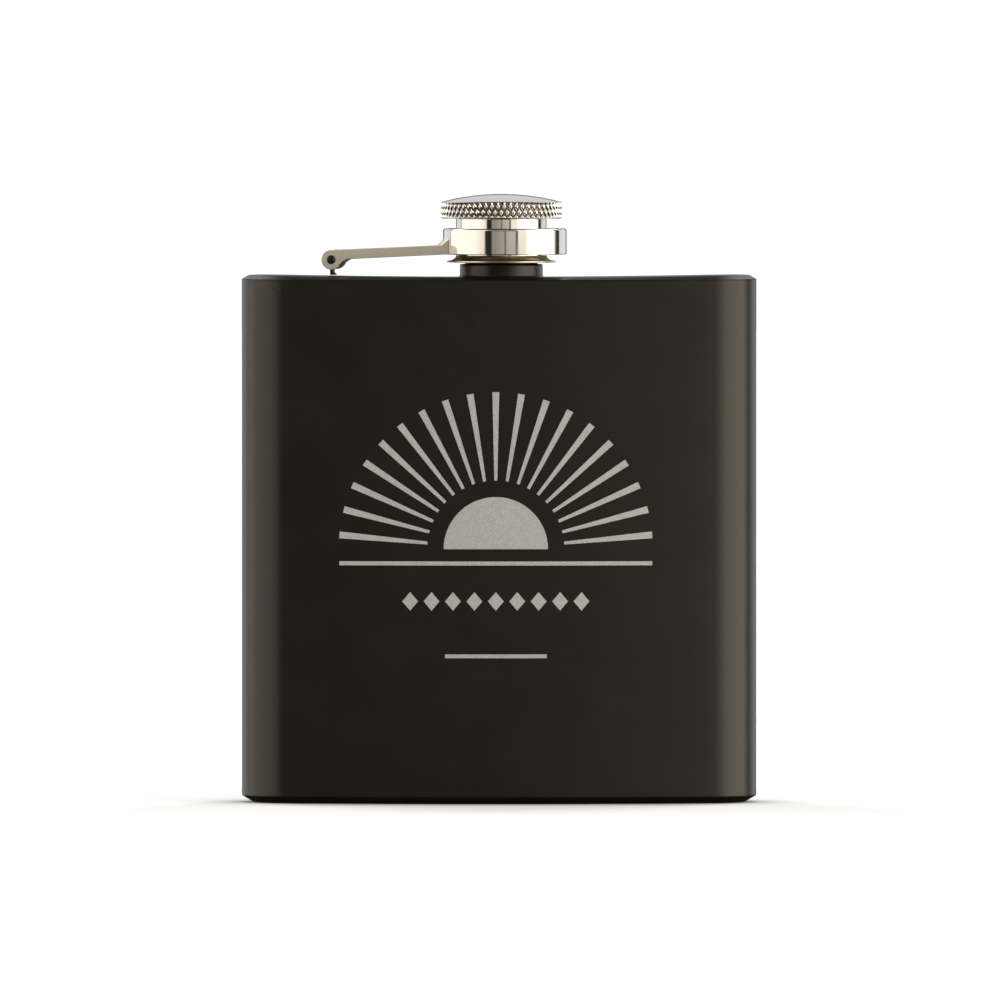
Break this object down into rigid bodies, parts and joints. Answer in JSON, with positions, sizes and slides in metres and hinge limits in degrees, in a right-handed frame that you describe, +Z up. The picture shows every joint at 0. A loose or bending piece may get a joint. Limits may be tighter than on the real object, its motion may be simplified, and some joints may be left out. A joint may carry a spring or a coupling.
{
  "type": "hip flask",
  "caption": "Curved slim steel hip flask in satin black, with a knurled screw cap held captive by a hinged lever and ring.",
  "frame": {"origin": "on the table, under the middle of the whole flask's outline", "axes": "+Z up, the convex front faces -Y, the lever's hinge stands on the -X side"},
  "size_m": [0.094, 0.0254, 0.1111],
  "materials": {
    "body_paint": "satin black powder coat on stainless steel",
    "hinge_black": "satin black",
    "lever_steel": "satin stainless steel",
    "polished_steel": "polished stainless steel",
    "seal_silicone": "matte translucent white silicone"
  },
  "bodies": {
    "flask": {"body_wall": "body_paint", "top_plate": "body_paint", "base_plate": "body_paint", "neck": "body_paint", "hinge_post": "hinge_black", "hinge_pin": "hinge_black"},
    "lever": {"lever_arm": "lever_steel", "retainer_ring": "polished_steel"},
    "seal": {"cap_seal": "seal_silicone"},
    "cap": {"cap_shell": "polished_steel", "cap_sleeve": "polished_steel", "cap_flange": "polished_steel"}
  },
  "joints": [
    {"name": "lever_pivot", "type": "hinge", "parent": "flask", "child": "lever", "pos_m": [-0.03015, 0.00131, 0.0991], "axis": [-0.0863, -0.9963, 0], "range_deg": [0, 178]},
    {"name": "cap_lift", "type": "slide", "parent": "lever", "child": "seal", "axis": [0, 0, 1], "range_m": [0, 0.00438]},
    {"name": "cap_spin", "type": "hinge", "parent": "seal", "child": "cap", "pos_m": [0.0004, -0.00134, 0.1056], "axis": [0, 0, 1], "range_deg": [0, 1260.1]}
  ],
  "couplings": [
    {"joint": "cap_spin", "follows": "cap_lift", "rad_per_m": 5026.5}
  ]
}
